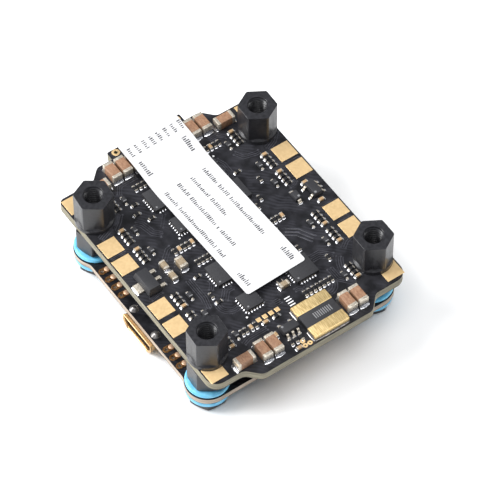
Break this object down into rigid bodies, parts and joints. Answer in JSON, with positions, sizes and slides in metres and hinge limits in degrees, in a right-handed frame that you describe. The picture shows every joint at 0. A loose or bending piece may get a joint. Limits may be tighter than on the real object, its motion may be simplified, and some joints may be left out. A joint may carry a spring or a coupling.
{
  "type": "flight controller stack",
  "caption": "Flight controller board on silicone grommets, bolted under a multi-motor speed controller board with nylon standoffs, spacers and nuts.",
  "frame": {"origin": "centre of the 30.5 mm hole pattern, in the plane of the top standoffs' open ends", "axes": "+Z out of the standoffs' open ends, +Y along the longer board towards its signal end, -X out of the USB socket"},
  "size_m": [0.0377, 0.0483, 0.0171],
  "materials": {
    "nylon": "black moulded nylon, soft sheen",
    "silicone": "sky-blue translucent silicone",
    "circuit_board": "black solder mask over glass laminate",
    "gold_plating": "immersion gold over copper",
    "label_paper": "white paper sticker",
    "resistor": "black glass over ceramic, tinned ends",
    "ceramic_capacitor": "brown ceramic, tinned ends",
    "chip_package": "dark epoxy moulding",
    "shunt_metal": "brushed copper alloy",
    "connector_plastic": "ivory moulded nylon",
    "tinned_metal": "tin plating",
    "usb_metal": "gold plating on pressed steel",
    "led_lens": "clear lens on a white base",
    "button_plastic": "black moulded plastic"
  },
  "bodies": {
    "stack": {"top_standoffs": "nylon", "middle_standoffs": "nylon", "lock_nuts": "nylon", "silicone_grommets": "silicone", "esc_board": "circuit_board", "esc_motor_pads": "gold_plating", "esc_signal_pads": "gold_plating", "esc_test_pads": "gold_plating", "esc_battery_pads": "gold_plating", "esc_label": "label_paper", "esc_small_resistors": "resistor", "esc_small_capacitors": "ceramic_capacitor", "esc_bootstrap_diodes": "chip_package", "esc_bulk_capacitors": "ceramic_capacitor", "esc_filter_capacitors": "ceramic_capacitor", "esc_shunt_resistor": "shunt_metal", "esc_voltage_regulator": "chip_package", "esc_switching_regulator": "chip_package", "esc_current_amplifier": "chip_package", "esc_protection_diode": "chip_package", "esc_gate_drivers": "chip_package", "esc_motor_processors": "chip_package", "esc_mosfets": "chip_package", "esc_signal_connector": "connector_plastic", "esc_connector_contacts": "tinned_metal"},
    "flight_controller": {"fc_board": "circuit_board", "fc_edge_pads": "gold_plating", "usb_shell": "usb_metal", "usb_tongue": "chip_package", "usb_contacts": "gold_plating", "fc_processor": "chip_package", "fc_gyroscope": "chip_package", "fc_flash_memory": "chip_package", "fc_osd_chip": "chip_package", "fc_barometer": "tinned_metal", "fc_crystals": "tinned_metal", "fc_buck_regulators": "chip_package", "fc_power_inductors": "chip_package", "fc_linear_regulator": "chip_package", "fc_power_diodes": "chip_package", "fc_bulk_capacitors": "ceramic_capacitor", "fc_status_leds": "led_lens", "fc_small_resistors": "resistor", "fc_small_capacitors": "ceramic_capacitor", "fc_signal_connector": "connector_plastic", "fc_device_connector": "connector_plastic", "fc_connector_contacts": "tinned_metal", "boot_button_case": "tinned_metal"},
    "boot_button": {"boot_button_plunger": "button_plastic"}
  },
  "joints": [
    {"name": "board_float", "type": "slide", "parent": "stack", "child": "flight_controller", "axis": [0, 0, 1], "range_m": [-0.00025, 0.00025], "stiffness_N_per_m": 2000, "deforming": ["silicone_grommets"]},
    {"name": "boot_button_press", "type": "slide", "parent": "flight_controller", "child": "boot_button", "axis": [0, 0, 1], "range_m": [0, 0.00025], "stiffness_N_per_m": 600}
  ]
}
